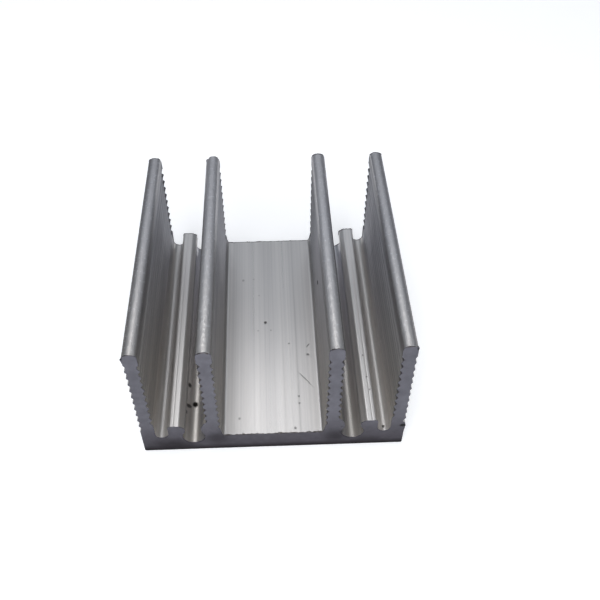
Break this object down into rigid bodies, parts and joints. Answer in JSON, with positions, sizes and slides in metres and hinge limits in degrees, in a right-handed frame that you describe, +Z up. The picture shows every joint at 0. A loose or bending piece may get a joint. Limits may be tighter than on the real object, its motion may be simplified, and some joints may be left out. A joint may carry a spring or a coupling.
{
  "type": "extruded heat sink",
  "caption": "Extruded aluminium heat sink with serrated upright fins, a flat channel for a power transistor and open slots that grip solder pins.",
  "frame": {"origin": "middle of the underside", "axes": "+X across the fins, +Y along the extrusion, +Z up, from the base to the fin tips"},
  "size_m": [0.042, 0.045, 0.025],
  "materials": {
    "aluminium": "mill finish with fine die lines along the extrusion, sawn ends"
  },
  "bodies": {
    "root": {"heat_sink": "aluminium"}
  },
  "joints": []
}
